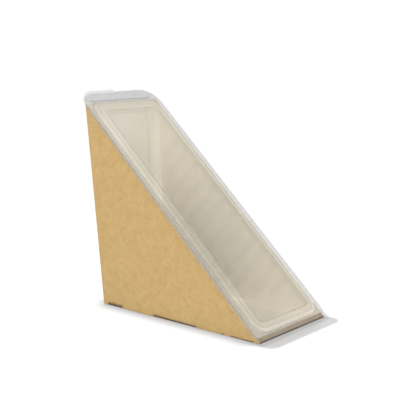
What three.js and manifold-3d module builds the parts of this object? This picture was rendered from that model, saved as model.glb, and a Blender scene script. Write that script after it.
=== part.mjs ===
// Wedge pack for half a sandwich: a folded board sleeve, and a clear formed insert made of
// a tray that lies in the sleeve and a lid that is hinged to it along the lower front edge.
//
// Millimetres, +Z up, X across the pack. The triangular side panels lie in planes of constant X.
// The open face is the long side of the triangle and faces forward (-Y) and up.
// On the open face, u runs across (X), v runs up the slope from the front fold, and n stands off it.

import * as THREE from 'three';
import { mergeVertices } from 'three/addons/utils/BufferGeometryUtils.js';
import Module from 'manifold-3d';

const wasm = await Module();
wasm.setup();

// Board sleeve

const BASE_LEG = 123;            // side panel along the base, from the back fold to the front fold
const BACK_LEG = 123;            // side panel along the back panel
const CORNER_ANGLE = 94.2;       // degrees between base and back panel, so the back leans out a little
const SLEEVE_WIDTH = 59.4;       // outside, across the two side panels
const BOARD = 0.5;               // thickness of the board
const FRONT_LIP = 4;             // strip of the base turned up into the open face
const SIDE_TIP_CUT = 2.5;        // length of the side panels' upper tips that is rounded away
const SIDE_TIP_DEPTH = 0.8;      // how far in from the side faces the tips are rounded
const CREASE_CUTS = [[3.8, 16.5], [43.1, 77.2], [95.9, 97.5], [102.7, 118.5]]; // from the back fold
const CREASE_HEIGHT = 0.7;
const CREASE_DEPTH = 0.35;

// Formed sheet, flanges and finger tabs

const SHEET = 0.35;              // thickness of the clear sheet
const REST_GAP = 0.3;            // between board and tray flange, and between the two flanges
const FLANGE_OVERHANG = 1.6;     // flanges beyond the side panels' faces
const FLANGE_REACH = 7.2;        // flanges beyond the sleeve's upper tip, up the slope
const FLANGE_TOP_RADIUS = 12;
const SQUARE_RADIUS = 0.5;       // corners that are left all but square
const TRAY_FRONT = 1.2;          // tray flange's lower edge, up the slope, on the leaf's strip
const STRIP_REACH = 2.4;         // how far the leaf's strip runs up the slope
const LID_FRONT = 2.3;           // lid flange's lower edge, up the slope from the front fold
const LID_FRONT_RADIUS = 4;
const LID_TAB = 1.7;             // how far the lid's finger tab passes the flanges
const TRAY_TAB = 0.8;            // how far the tray's finger tab passes the flanges
const TAB_SPLIT = -0.9;          // u of the notch between the two tabs
const TAB_NOTCH = 1.6;           // width of that notch
const LEAF_REACH = 9.3;          // leaf on the floor, forward of the front fold
const LEAF_RADIUS = 5;
const HINGE_DROP = 0.7;          // hinge line below the lid flange's lower edge, down the slope

// Tray

const SIDE_CLEARANCE = 1.8;      // mouth off the inside of each side panel
const MOUTH_FRONT = 4.8;         // mouth's lower end, up the slope from the front fold
const MOUTH_BACK = 4.8;          // mouth's upper end, short of the sleeve's upper tip
const MOUTH_RADIUS = 8;
const SIDE_DRAFT = 2.5;          // degrees, each side wall
const RADIUS_GROWTH = 0.08;      // growth of the corner radius for each millimetre of depth
const LEG_CLEARANCE = 0.8;       // tray walls off the inside of the base and back panels
const HEEL_RADIUS = 7;           // rounding where the tray's base and back walls meet
const FLUTE_COUNT = 14;          // shallow flutes down each side wall
const FLUTE_PITCH = 10.4;
const FLUTE_RADIUS = 5;
const FLUTE_PROUD = 0.6;         // how far a flute stands out of the side wall
const FLUTE_START = 6;           // depth of the flutes' upper ends
const FLUTE_END_GAP = 7;         // flutes stop this far short of the tray's base and back walls
const SHORTEST_FLUTE = 5.2;      // straight length below which a flute is left out

// Lid

const RIM_RISE = 1.6;            // raised rim above the lid flange
const RIM_SIDE_FOOT = 3.4;       // rim's outer foot, in from the flange's side edges
const RIM_FRONT_FOOT = 4.4;      // rim's outer foot at the lower end, from the front fold
const RIM_BACK_FOOT = 1.6;       // rim's outer foot at the upper end, past the sleeve's tip
const RIM_SLOPE = 2.4;           // width of the rim's sloping outer wall
const RIM_RADIUS = 9;
const RIM_TOP_SIDE = 3.9;        // width of the rim's flat top, along the sides
const RIM_TOP_FRONT = 3.5;       // at the lower end
const RIM_TOP_BACK = 9.2;        // at the upper end
const WINDOW_RADIUS = 3;         // recess of the window, inside the rim
const WINDOW_SLOPE = 0.8;        // width of the recess's sloping wall
const WINDOW_DEPTH = 1.6;        // depth of the recess below the rim's top

const ARC_STEPS = 6;             // straight pieces in a quarter turn
const FLUTE_SIDES = 16;
const FLUTE_CAP_STEPS = 2;
const HEEL_STEPS = 4;
const HEEL_FLAT = 0.3;           // share of a step that stays flat at the heel's deepest line
const MOST_ROUND = 0.48;         // largest share of a short side that a corner's radius takes
const OVERCUT = 1;               // how far a cutting solid passes the face that it opens

// Widths that follow from the sleeve's

const FLANGE_WIDTH = SLEEVE_WIDTH + 2 * FLANGE_OVERHANG;
const MOUTH_WIDTH = SLEEVE_WIDTH - 2 * (BOARD + SIDE_CLEARANCE);
const WINDOW_WIDTH = FLANGE_WIDTH - 2 * (RIM_SIDE_FOOT + RIM_SLOPE + RIM_TOP_SIDE);

const kraftBoard = new THREE.MeshStandardMaterial({ color: 0xcda973, roughness: 0.85, metalness: 0 });
const clearSheet = new THREE.MeshStandardMaterial({
  color: 0xe6e9ea, roughness: 0.12, metalness: 0, transparent: true, opacity: 0.3,
});

// Triangle of the side panel in Y and Z: heel is the back fold, toe the front fold

const corner = THREE.MathUtils.degToRad(CORNER_ANGLE);
const heel = new THREE.Vector2(0, 0);
const toe = new THREE.Vector2(-BASE_LEG, 0);
const backUp = new THREE.Vector2(-Math.cos(corner), Math.sin(corner));
const backInward = new THREE.Vector2(-backUp.y, backUp.x);
const tip = backUp.clone().multiplyScalar(BACK_LEG);
const slopeLength = tip.distanceTo(toe);
const along = tip.clone().sub(toe).divideScalar(slopeLength);
const outward = new THREE.Vector2(-along.y, along.x);
const toeAngle = Math.atan2(along.y, along.x);
const tipAngle = Math.PI - corner - toeAngle;

// Heights off the open face

const TRAY_LOW = REST_GAP;
const TRAY_HIGH = TRAY_LOW + SHEET;
const LID_LOW = TRAY_HIGH + REST_GAP;
const LID_HIGH = LID_LOW + SHEET;
const RIM_HIGH = LID_HIGH + RIM_RISE;

const ontoSlope = new THREE.Matrix4().makeBasis(
  new THREE.Vector3(1, 0, 0),
  new THREE.Vector3(0, along.x, along.y),
  new THREE.Vector3(0, outward.x, outward.y),
).setPosition(0, toe.x, toe.y);

// Point in Y and Z for a place v up the slope and n off it

function onSlope(v, n) {
  return toe.clone().addScaledVector(along, v).addScaledVector(outward, n);
}

// Place v up the slope where height n off it is at height z over the floor

function slopeAt(z, n) {
  return (z - n * outward.y) / along.y;
}

function toSolid(geometry) {
  const bare = geometry.clone();
  bare.deleteAttribute('normal');
  bare.deleteAttribute('uv');
  const merged = mergeVertices(bare, 1e-4);
  const corners = merged.index.array;
  const faces = [];
  for (let i = 0; i < corners.length; i += 3) {
    const [a, b, c] = corners.subarray(i, i + 3);
    if (a !== b && b !== c && c !== a) {
      faces.push(a, b, c);
    }
  }
  return new wasm.Manifold(new wasm.Mesh({
    numProp: 3,
    vertProperties: new Float32Array(merged.attributes.position.array),
    triVerts: new Uint32Array(faces),
  }));
}

function toGeometry(solid) {
  const mesh = solid.getMesh();
  const geometry = new THREE.BufferGeometry();
  geometry.setAttribute('position', new THREE.BufferAttribute(new Float32Array(mesh.vertProperties), 3));
  geometry.setIndex(new THREE.BufferAttribute(new Uint32Array(mesh.triVerts), 1));
  geometry.computeVertexNormals();
  return geometry;
}

// Outline of a rectangle with one radius at its lower and another at its upper corners

function roundedOutline(width, low, high, lowRadius, highRadius) {
  const half = width / 2;
  const corners = [
    [half - lowRadius, low + lowRadius, lowRadius, -90],
    [half - highRadius, high - highRadius, highRadius, 0],
    [-half + highRadius, high - highRadius, highRadius, 90],
    [-half + lowRadius, low + lowRadius, lowRadius, 180],
  ];
  const points = [];
  for (const [u, v, radius, start] of corners) {
    for (let i = 0; i <= ARC_STEPS; i += 1) {
      const angle = THREE.MathUtils.degToRad(start + (90 * i) / ARC_STEPS);
      points.push(new THREE.Vector2(u + radius * Math.cos(angle), v + radius * Math.sin(angle)));
    }
  }
  return points;
}

// Closed solid through a stack of convex outlines with equal numbers of points, from low to high

function loft(sections) {
  const count = sections[0].points.length;
  const positions = [];
  for (const { points, height } of sections) {
    for (const point of points) {
      positions.push(point.x, point.y, height);
    }
  }
  const index = [];
  for (let s = 0; s + 1 < sections.length; s += 1) {
    for (let i = 0; i < count; i += 1) {
      const a = s * count + i;
      const b = s * count + ((i + 1) % count);
      index.push(a, b, b + count, a, b + count, a + count);
    }
  }
  const last = (sections.length - 1) * count;
  for (let i = 1; i + 1 < count; i += 1) {
    index.push(0, i + 1, i);
    index.push(last, last + i, last + i + 1);
  }
  const geometry = new THREE.BufferGeometry();
  geometry.setAttribute('position', new THREE.Float32BufferAttribute(positions, 3));
  geometry.setIndex(index);
  return toSolid(geometry);
}

// Flat plate in the u and v plane, between two heights

function plate(points, low, high) {
  return loft([{ points, height: low }, { points, height: high }]);
}

// Prism across the pack with a section given in Y and Z

function prism(points, width) {
  const geometry = new THREE.ExtrudeGeometry(new THREE.Shape(points), { depth: width, bevelEnabled: false });
  geometry.translate(0, 0, -width / 2);
  geometry.applyMatrix4(new THREE.Matrix4().makeBasis(
    new THREE.Vector3(0, 1, 0),
    new THREE.Vector3(0, 0, 1),
    new THREE.Vector3(1, 0, 0),
  ));
  return toSolid(geometry);
}

function block(from, to) {
  const size = to.clone().sub(from);
  const middle = from.clone().add(to).multiplyScalar(0.5);
  return toSolid(new THREE.BoxGeometry(size.x, size.y, size.z).translate(middle.x, middle.y, middle.z));
}

function carriedOntoSlope(solid) {
  return toSolid(toGeometry(solid).applyMatrix4(ontoSlope));
}

// Sleeve: base, back panel and two side panels, open on the sloping face above the front lip

// What is cut off both side panels to round their upper tips

function tipOffcuts() {
  const lower = tip.clone().addScaledVector(along, -SIDE_TIP_CUT);
  const rear = tip.clone().addScaledVector(backUp, -SIDE_TIP_CUT);
  const curve = new THREE.QuadraticBezierCurve(lower, tip, rear).getPoints(ARC_STEPS);
  const peak = tip.clone().add(tip.clone().sub(lower)).add(tip.clone().sub(rear));
  const offcut = prism([...curve, peak], 2 * SIDE_TIP_DEPTH);
  return offcut.translate([-SLEEVE_WIDTH / 2, 0, 0]).add(offcut.translate([SLEEVE_WIDTH / 2, 0, 0]));
}

function kraftSleeve() {
  const shell = prism([heel, toe, tip].reverse(), SLEEVE_WIDTH);
  const insideHeel = backInward.clone().multiplyScalar(BOARD);
  insideHeel.addScaledVector(backUp, (BOARD - insideHeel.y) / backUp.y);
  const beyond = BACK_LEG; // well clear of the open face
  const hollow = prism([
    insideHeel,
    onSlope(slopeAt(BOARD, -BOARD), -BOARD),
    onSlope(FRONT_LIP, -BOARD),
    onSlope(FRONT_LIP, beyond),
    tip.clone().addScaledVector(backInward, BOARD).addScaledVector(backUp, beyond),
  ].reverse(), SLEEVE_WIDTH - 2 * BOARD);
  let sleeve = shell.subtract(hollow).subtract(tipOffcuts());
  for (const side of [-1, 1]) {
    const face = side * (SLEEVE_WIDTH / 2);
    for (const [from, to] of CREASE_CUTS) {
      sleeve = sleeve.subtract(block(
        new THREE.Vector3(face - CREASE_DEPTH, -to, -CREASE_HEIGHT),
        new THREE.Vector3(face + CREASE_DEPTH, -from, CREASE_HEIGHT),
      ));
    }
  }
  return toGeometry(sleeve);
}

// Flange with its finger tab on one half of the upper end; side is -1 for the left half

function tabbedFlange(front, frontRadius, tabReach, side, low, high) {
  const end = slopeLength + FLANGE_REACH;
  const flange = plate(roundedOutline(FLANGE_WIDTH, front, end, frontRadius, FLANGE_TOP_RADIUS), low, high);
  const longer = plate(
    roundedOutline(FLANGE_WIDTH, slopeLength / 2, end + tabReach, frontRadius, FLANGE_TOP_RADIUS),
    low,
    high,
  );
  const start = TAB_SPLIT + (side * TAB_NOTCH) / 2;
  const far = side * FLANGE_WIDTH;
  const half = block(
    new THREE.Vector3(Math.min(start, far), slopeLength - FLANGE_TOP_RADIUS, low - OVERCUT),
    new THREE.Vector3(Math.max(start, far), end + tabReach + OVERCUT, high + OVERCUT),
  );
  return flange.add(longer.intersect(half));
}

// Wedge of the tray, as wide and long at each depth as its walls allow; inset moves all walls inward

function trayWedge(inset, top) {
  const offLeg = BOARD + LEG_CLEARANCE + inset;
  const lowAt = (depth) => Math.max(MOUTH_FRONT + inset, depth / Math.tan(toeAngle) + offLeg / Math.sin(toeAngle));
  const highAt = (depth) => Math.min(
    slopeLength - MOUTH_BACK - inset,
    slopeLength - depth / Math.tan(tipAngle) - offLeg / Math.sin(tipAngle),
  );
  const radius = HEEL_RADIUS - inset;
  const reach = (offLeg + radius) / Math.sin(toeAngle);
  const reachBack = (offLeg + radius) / Math.sin(tipAngle);
  const spread = 1 / Math.tan(toeAngle) + 1 / Math.tan(tipAngle);
  const centreDepth = (slopeLength - reach - reachBack) / spread;
  const centreV = centreDepth / Math.tan(toeAngle) + reach;
  const section = (depth, low, high) => {
    const width = MOUTH_WIDTH - 2 * inset - 2 * Math.max(depth, 0) * Math.tan(THREE.MathUtils.degToRad(SIDE_DRAFT));
    const wanted = MOUTH_RADIUS - inset + Math.max(depth, 0) * RADIUS_GROWTH;
    const round = Math.min(wanted, MOST_ROUND * (high - low));
    return { points: roundedOutline(width, low, high, round, round), height: -depth };
  };
  const straightEnd = centreDepth + radius * Math.cos(Math.max(toeAngle, tipAngle));
  const kneeLow = (MOUTH_FRONT + inset - offLeg / Math.sin(toeAngle)) * Math.tan(toeAngle);
  const kneeHigh = (MOUTH_BACK + inset - offLeg / Math.sin(tipAngle)) * Math.tan(tipAngle);
  const depths = [-top, 0, kneeLow, kneeHigh, (kneeLow + straightEnd) / 2, straightEnd];
  const sections = [...new Set(depths)].sort((a, b) => a - b).map((d) => section(d, lowAt(d), highAt(d)));
  const startAngle = Math.asin((straightEnd - centreDepth) / radius);
  for (let i = 1; i <= HEEL_STEPS; i += 1) {
    const angle = startAngle + ((Math.PI / 2 - startAngle) * i) / (HEEL_STEPS + HEEL_FLAT);
    const half = radius * Math.cos(angle);
    sections.push(section(centreDepth + radius * Math.sin(angle), centreV - half, centreV + half));
  }
  return loft(sections.reverse());
}

// Flutes along both side walls, running straight into the depth with the walls' draft

function flutes(inset) {
  const draft = THREE.MathUtils.degToRad(SIDE_DRAFT);
  const first = slopeLength / 2 - ((FLUTE_COUNT - 1) / 2) * FLUTE_PITCH;
  let joined = null;
  for (let i = 0; i < FLUTE_COUNT; i += 1) {
    const v = first + i * FLUTE_PITCH;
    const floorDepth = Math.min(
      (v - FLUTE_RADIUS) * Math.tan(toeAngle) - (BOARD + LEG_CLEARANCE) / Math.cos(toeAngle),
      (slopeLength - v - FLUTE_RADIUS) * Math.tan(tipAngle) - (BOARD + LEG_CLEARANCE) / Math.cos(tipAngle),
    );
    const length = floorDepth - FLUTE_END_GAP - FLUTE_START;
    if (length > SHORTEST_FLUTE) {
      for (const side of [-1, 1]) {
        const geometry = new THREE.CapsuleGeometry(FLUTE_RADIUS - inset, length, FLUTE_CAP_STEPS, FLUTE_SIDES);
        geometry.rotateX(Math.PI / 2);
        geometry.translate(0, 0, -FLUTE_START - length / 2);
        geometry.rotateY(side * draft);
        geometry.translate(side * (MOUTH_WIDTH / 2 + FLUTE_PROUD - FLUTE_RADIUS), v, 0);
        const flute = toSolid(geometry);
        joined = joined ? joined.add(flute) : flute;
      }
    }
  }
  return joined;
}

// Leaf on the floor in front of the sleeve, joined to the tray flange along the front fold

function frontLeaf() {
  const front = -BASE_LEG - LEAF_REACH;
  const strip = prism([
    onSlope(STRIP_REACH, TRAY_LOW),
    onSlope(slopeAt(0, TRAY_LOW), TRAY_LOW),
    new THREE.Vector2(front, 0),
    new THREE.Vector2(front, SHEET),
    onSlope(slopeAt(SHEET, TRAY_HIGH), TRAY_HIGH),
    onSlope(STRIP_REACH, TRAY_HIGH),
  ].reverse(), FLANGE_WIDTH);
  const outline = roundedOutline(FLANGE_WIDTH, front, -BASE_LEG + LEAF_REACH, LEAF_RADIUS, SQUARE_RADIUS);
  return strip.intersect(plate(outline, -OVERCUT, STRIP_REACH + OVERCUT));
}

function clearTray() {
  const flange = tabbedFlange(TRAY_FRONT, SQUARE_RADIUS, TRAY_TAB, 1, TRAY_LOW, TRAY_HIGH);
  const outside = trayWedge(0, TRAY_LOW + SHEET / 2).add(flutes(0));
  const inside = trayWedge(SHEET, TRAY_HIGH + OVERCUT).add(flutes(SHEET));
  const formed = flange.add(outside).subtract(inside);
  return toGeometry(carriedOntoSlope(formed).add(frontLeaf()));
}

// Block under the raised rim, from foot to flat top; drop lowers it to give the sheet its thickness

function rimBlock(drop, depth) {
  const footWidth = FLANGE_WIDTH - 2 * RIM_SIDE_FOOT;
  const end = slopeLength + RIM_BACK_FOOT;
  const outline = (inset) => roundedOutline(
    footWidth - 2 * inset,
    RIM_FRONT_FOOT + inset,
    end - inset,
    RIM_RADIUS - inset,
    RIM_RADIUS - inset,
  );
  return loft([
    { points: outline(0), height: LID_HIGH - drop - depth },
    { points: outline(0), height: LID_HIGH - drop },
    { points: outline(RIM_SLOPE), height: RIM_HIGH - drop },
  ]);
}

// Block of the window's recess, open upward; drop lowers it in the same way

function recessBlock(drop) {
  const outline = (inset) => roundedOutline(
    WINDOW_WIDTH - 2 * inset,
    RIM_FRONT_FOOT + RIM_SLOPE + RIM_TOP_FRONT + inset,
    slopeLength + RIM_BACK_FOOT - RIM_SLOPE - RIM_TOP_BACK - inset,
    WINDOW_RADIUS - inset,
    WINDOW_RADIUS - inset,
  );
  return loft([
    { points: outline(WINDOW_SLOPE), height: RIM_HIGH - WINDOW_DEPTH - drop },
    { points: outline(0), height: RIM_HIGH - drop },
    { points: outline(0), height: RIM_HIGH + OVERCUT },
  ]);
}

function clearLid() {
  const flange = tabbedFlange(LID_FRONT, LID_FRONT_RADIUS, LID_TAB, -1, LID_LOW, LID_HIGH);
  const top = flange.add(rimBlock(0, SHEET / 2)).subtract(recessBlock(0));
  const under = rimBlock(SHEET, OVERCUT).subtract(recessBlock(SHEET));
  return toGeometry(carriedOntoSlope(top.subtract(under)));
}

function named(name, geometry, material) {
  const mesh = new THREE.Mesh(geometry, material);
  mesh.name = name;
  return mesh;
}

// The hinge line is the lid's own origin

const hingeLine = onSlope(LID_FRONT - HINGE_DROP, (TRAY_HIGH + LID_LOW) / 2);
const lid = new THREE.Group();
lid.position.set(0, hingeLine.x, hingeLine.y);
const lidGeometry = clearLid().translate(0, -hingeLine.x, -hingeLine.y);
lid.add(named('clear_lid', lidGeometry, clearSheet));

const pack = new THREE.Group();
pack.add(named('kraft_sleeve', kraftSleeve(), kraftBoard));
pack.add(named('clear_tray', clearTray(), clearSheet));
pack.add(lid);

// Stand the pack on the middle of its own footprint

const extent = new THREE.Box3().setFromObject(pack);
const middle = extent.getCenter(new THREE.Vector3());
pack.position.set(-middle.x, -middle.y, -extent.min.z);

const sandwichPack = new THREE.Group();
sandwichPack.add(pack);

export default sandwichPack;
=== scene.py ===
"""Wedge pack for half a sandwich: board sleeve, clear formed tray and clear hinged lid, on a pale studio floor.

Sizes are in millimetres until a mesh is made. On the open face, u runs across the pack, v runs up the slope from
the front fold, and n stands off it.
"""

import math

import bmesh
import bpy
import numpy as np
from mathutils import Matrix, Vector


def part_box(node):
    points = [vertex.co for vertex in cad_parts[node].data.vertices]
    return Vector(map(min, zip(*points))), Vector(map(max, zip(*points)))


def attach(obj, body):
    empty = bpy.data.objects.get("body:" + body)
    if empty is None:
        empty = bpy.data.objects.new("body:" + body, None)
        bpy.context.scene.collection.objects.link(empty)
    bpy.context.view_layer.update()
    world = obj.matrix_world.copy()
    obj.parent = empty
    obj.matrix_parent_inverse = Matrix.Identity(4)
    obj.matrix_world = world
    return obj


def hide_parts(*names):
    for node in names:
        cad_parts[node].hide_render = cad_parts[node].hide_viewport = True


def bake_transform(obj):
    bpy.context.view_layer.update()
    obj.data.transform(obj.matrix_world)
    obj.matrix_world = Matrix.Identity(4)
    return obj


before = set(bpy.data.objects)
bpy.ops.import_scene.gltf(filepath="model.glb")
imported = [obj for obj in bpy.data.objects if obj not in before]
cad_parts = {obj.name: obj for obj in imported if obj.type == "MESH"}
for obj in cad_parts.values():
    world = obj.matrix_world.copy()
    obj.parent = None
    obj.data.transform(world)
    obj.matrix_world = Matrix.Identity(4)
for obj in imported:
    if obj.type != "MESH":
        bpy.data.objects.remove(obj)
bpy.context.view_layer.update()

MM = 0.001

# ---------------------------------------------------------------- sizes of the pack

BASE_LEG = 123.0
BACK_LEG = 123.0
CORNER_ANGLE = math.radians(94.2)
SLEEVE_WIDTH = 59.4
BOARD = 0.5
FRONT_LIP = 4.0
# The lip's shade is painted shade in the kraft's colour, darkest at the lip's fold.
LIP_SHADE = 0.15
LIP_DARK_REACH = 1.9
SIDE_TIP_CUT = 1.7  # a side panel stops this far short of the tip
TIP_CURVE_END = 0.85  # share of that corner's curve that is kept, so that its wall has room
CREASE_CUTS = ((3.8, 16.5), (43.1, 77.2), (95.9, 97.5), (102.7, 118.5))  # from the back fold
CREASE_HEIGHT = 0.7
CREASE_BAND = 0.6  # the cuts reach this far in under the base
CREASE_END = 0.06  # half the length over which a cut begins
CREASE_DEPTH = 0.3
FOLD_ROUND = 0.5  # outside rounding of the side folds and the front fold
HEEL_ROUND = 0.8  # outside rounding of the fold between base and back panel
SIDE_BOW = 0.25  # side panels belly out by this much at their middle

SHEET = 0.35
REST_GAP = 0.3
FLANGE_WIDTH = 62.6
FLANGE_REACH = 7.2
FLANGE_TOP_RADIUS = 12.0
LID_FRONT = 2.3
LID_FRONT_RADIUS = 4.0
LID_TAB = 1.7
TRAY_TAB = 0.8
TAB_SPLIT = -0.9
TAB_NOTCH = 1.6
LEAF_REACH = 9.3
LEAF_RADIUS = 5.0
TRAY_FRONT = 1.2
TRAY_FRONT_RADIUS = 0.5
HINGE_SHEET = 0.12
FRONT_HAZE_CUT = 0.5  # the flanges' veil is thinner at the front by this share

MOUTH_WIDTH = 54.8
MOUTH_FRONT = 4.8
MOUTH_BACK = 4.8
MOUTH_RADIUS = 8.0
SIDE_DRAFT = math.radians(2.5)
RADIUS_GROWTH = 0.08
LEG_CLEARANCE = 0.8
HEEL_RADIUS = 7.0
FLUTE_COUNT = 14
FLUTE_PITCH = 10.4
FLUTE_RADIUS = 5.0
FLUTE_PROUD = 0.6
FLUTE_START = 6.0
FLUTE_END_GAP = 7.0

RIM_RISE = 1.6
RIM_SIDE_FOOT = 3.4
RIM_FRONT_FOOT = 4.4
RIM_BACK_FOOT = -0.2  # the rim ends a little short of the sleeve's tip
RIM_SLOPE = 2.4
RIM_RADIUS = 9.0
WINDOW_WIDTH = 43.2
WINDOW_FRONT = 10.3
WINDOW_BACK = 10.0
WINDOW_RADIUS = 3.0
WINDOW_SLOPE = 0.8
WINDOW_DEPTH = 1.6
LID_TRIMS = (0.5, 0.45, 0.7, 0.7)  # rounding of the lid's bends, from the window out
# The line along a bend is painted shade.
BEND_WIDTH = 0.3  # half width of the dimmer line along a bend
MOST_ROUND = 0.48  # a bend takes at most this share of a neighbouring face

HEEL_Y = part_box("kraft_sleeve")[0].y / MM + BASE_LEG
TOE_Y = HEEL_Y - BASE_LEG
HEEL = np.array([HEEL_Y, 0.0])
TOE = np.array([TOE_Y, 0.0])
BACK_UP = np.array([-math.cos(CORNER_ANGLE), math.sin(CORNER_ANGLE)])
BACK_INWARD = np.array([-BACK_UP[1], BACK_UP[0]])
TIP = HEEL + BACK_LEG * BACK_UP
SLOPE_LENGTH = float(np.linalg.norm(TIP - TOE))
ALONG = (TIP - TOE) / SLOPE_LENGTH
OUTWARD = np.array([-ALONG[1], ALONG[0]])
TOE_ANGLE = math.atan2(ALONG[1], ALONG[0])
TIP_ANGLE = math.pi - CORNER_ANGLE - TOE_ANGLE

TRAY_TOP = REST_GAP + SHEET
LID_TOP = TRAY_TOP + REST_GAP + SHEET
RIM_TOP = LID_TOP + RIM_RISE
FLANGE_END = SLOPE_LENGTH + FLANGE_REACH


# ---------------------------------------------------------------- surfaces


def on_slope(u, v, n):
    """Points u across, v up the slope and n off it, each broadcast to one grid: the front fold plus v times the
    slope's direction plus n times its outward direction, in metres."""
    y = TOE[0] + v * ALONG[0] + n * OUTWARD[0]
    z = TOE[1] + v * ALONG[1] + n * OUTWARD[1]
    return np.stack(np.broadcast_arrays(u, y, z), axis=-1) * MM


def ring_plan(side_steps, end_steps, corner_steps):
    """For each point of a ring, the two corners that it lies between, its share of the way from one to the other
    and its direction from the corner's centre: a straight side keeps one direction while the share runs from 0
    to 1, and a corner keeps its centre while the direction turns a quarter."""
    parts = (
        (0, 1, side_steps, 0, 0),
        (1, 1, corner_steps, 0, 90),
        (1, 2, end_steps, 90, 90),
        (2, 2, corner_steps, 90, 180),
        (2, 3, side_steps, 180, 180),
        (3, 3, corner_steps, 180, 270),
        (3, 0, end_steps, 270, 270),
        (0, 0, corner_steps, 270, 360),
    )
    shares = [np.linspace(0, 1, steps, endpoint=False) for _, _, steps, _, _ in parts]
    first = np.concatenate([np.full(p[2], p[0]) for p in parts])
    second = np.concatenate([np.full(p[2], p[1]) for p in parts])
    turn = np.concatenate([p[3] + (p[4] - p[3]) * t for p, t in zip(parts, shares)])
    return first, second, np.concatenate(shares), np.radians(turn)


def rounded_rings(plan, half, low, high, low_round, high_round):
    """Rounded rectangles, one a row: each point is its place between two corner centres plus that place's corner
    radius in the point's direction. half, low, high and both radii are columns, and u and v come back as grids."""
    first, second, share, turn = plan
    centre_u = np.concatenate([half - low_round, half - high_round, high_round - half, low_round - half], axis=1)
    centre_v = np.concatenate([low + low_round, high - high_round, high - high_round, low + low_round], axis=1)
    radius = np.concatenate([low_round, high_round, high_round, low_round], axis=1)

    def between(values):
        return values[:, first] * (1 - share) + values[:, second] * share

    u = between(centre_u) + between(radius) * np.cos(turn)
    v = between(centre_v) + between(radius) * np.sin(turn)
    return u, v


def softened(keys, trims, steps=4):
    """Rows of numbers through the key rows, where each inner key's corner is rounded: a quadratic curve from a trim
    before the key to a trim after it. Lengths are read from the first column (half width) and the last (height)."""
    keys = np.asarray(keys, float)
    lengths = np.hypot(np.diff(keys[:, 0]), np.diff(keys[:, -1]))
    t = np.linspace(0, 1, steps + 1)[:, None]
    rows = [keys[:1]]
    for i in range(1, len(keys) - 1):
        before = min(trims[i - 1] / lengths[i - 1], MOST_ROUND)
        after = min(trims[i - 1] / lengths[i], MOST_ROUND)
        p = keys[i] + (keys[i - 1] - keys[i]) * before
        q = keys[i] + (keys[i + 1] - keys[i]) * after
        rows.append((1 - t) ** 2 * p + 2 * t * (1 - t) * keys[i] + t**2 * q)
    rows.append(keys[-1:])
    return np.concatenate(rows)


def filled(rows, longest):
    """The same rows with evenly spread ones between, so that no step of the first and last columns is longer than
    asked: every column is read off again at the old and the new distances along the profile."""
    steps = np.hypot(np.diff(rows[:, 0]), np.diff(rows[:, -1]))
    at = np.concatenate([[0.0], np.cumsum(steps)])
    extra = np.linspace(0, at[-1], int(at[-1] / longest) + 2)
    places = np.unique(np.round(np.concatenate([at, extra]), 4))
    keep = np.concatenate([[True], np.diff(places) > 0.02])
    places = places[keep]
    return np.stack([np.interp(places, at, column) for column in rows.T], axis=1)


def smooth_step(x, low, high):
    """0 below low, 1 above high, and 3t squared minus 2t cubed between, with t the share of the way."""
    t = np.clip((x - low) / (high - low), 0.0, 1.0)
    return t * t * (3 - 2 * t)


def grid_faces(rows, cols, start, closed, turned):
    """Four corners of each cell of a grid whose points are numbered row by row from start; a closed grid also joins
    its last column to its first, and a turned one faces the other way."""
    index = start + np.arange(rows * cols).reshape(rows, cols)
    if closed:
        index = np.concatenate([index, index[:, :1]], axis=1)
    corners = [index[:-1, :-1], index[1:, :-1], index[1:, 1:], index[:-1, 1:]]
    if turned:
        corners.reverse()
    return np.stack(corners, axis=-1).reshape(-1, 4)


MERGE_DISTANCE = 2e-6  # metres
SHARP_ANGLE = math.radians(38)


def sheet_mesh(name, grids):
    """One mesh from several grids of points in metres, given as (points, closed, turned); points that meet are
    merged, so borders and poles close."""
    points, faces, start = [], [], 0
    for grid, closed, turned in grids:
        rows, cols = grid.shape[:2]
        points.append(grid.reshape(-1, 3))
        faces.append(grid_faces(rows, cols, start, closed, turned))
        start += rows * cols
    mesh = bpy.data.meshes.new(name)
    mesh.from_pydata(np.concatenate(points), [], np.concatenate(faces))
    bm = bmesh.new()
    bm.from_mesh(mesh)
    bmesh.ops.remove_doubles(bm, verts=bm.verts, dist=MERGE_DISTANCE)
    bmesh.ops.dissolve_degenerate(bm, edges=bm.edges, dist=1e-7)
    bm.to_mesh(mesh)
    bm.free()
    mesh.update()
    return mesh


def corners_of(mesh):
    """All points of a mesh in millimetres, one a row."""
    flat = np.empty(3 * len(mesh.vertices))
    mesh.vertices.foreach_get("co", flat)
    return flat.reshape(-1, 3) / MM


def beyond(u, v, half, low, high, radius):
    """How far a point of the open face lies outside a rounded rectangle, negative inside: the length of what
    passes the box of the corner centres, less the radius."""
    over_u = abs(u) - (half - radius)
    over_v = abs(v - (low + high) / 2) - ((high - low) / 2 - radius)
    outside = np.hypot(np.maximum(over_u, 0), np.maximum(over_v, 0))
    return outside + np.minimum(np.maximum(over_u, over_v), 0) - radius


def past_sleeve(u, v):
    """1 where a point of the open face lies beyond the sleeve's edges, 0 inside them."""
    return smooth_step(np.maximum(abs(u) - SLEEVE_WIDTH / 2, v - SLOPE_LENGTH), -0.3, 0.3)


def line_at(distance, width):
    """1 on a line and e to the minus square of distance over width beside it."""
    return np.exp(-((distance / width) ** 2))


def flange_painted_shade(on_flange, past):
    """How much painted shade darkens what is seen through a flange: more past the sleeve, where only the floor is
    behind.
    """
    return (0.03 + 0.17 * past) * on_flange


def store(mesh, name, values):
    """Keeps one number for each point of the mesh, for its material to read."""
    layer = mesh.attributes.new(name, "FLOAT", "POINT")
    layer.data.foreach_set("value", np.ascontiguousarray(values, np.float32))


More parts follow.
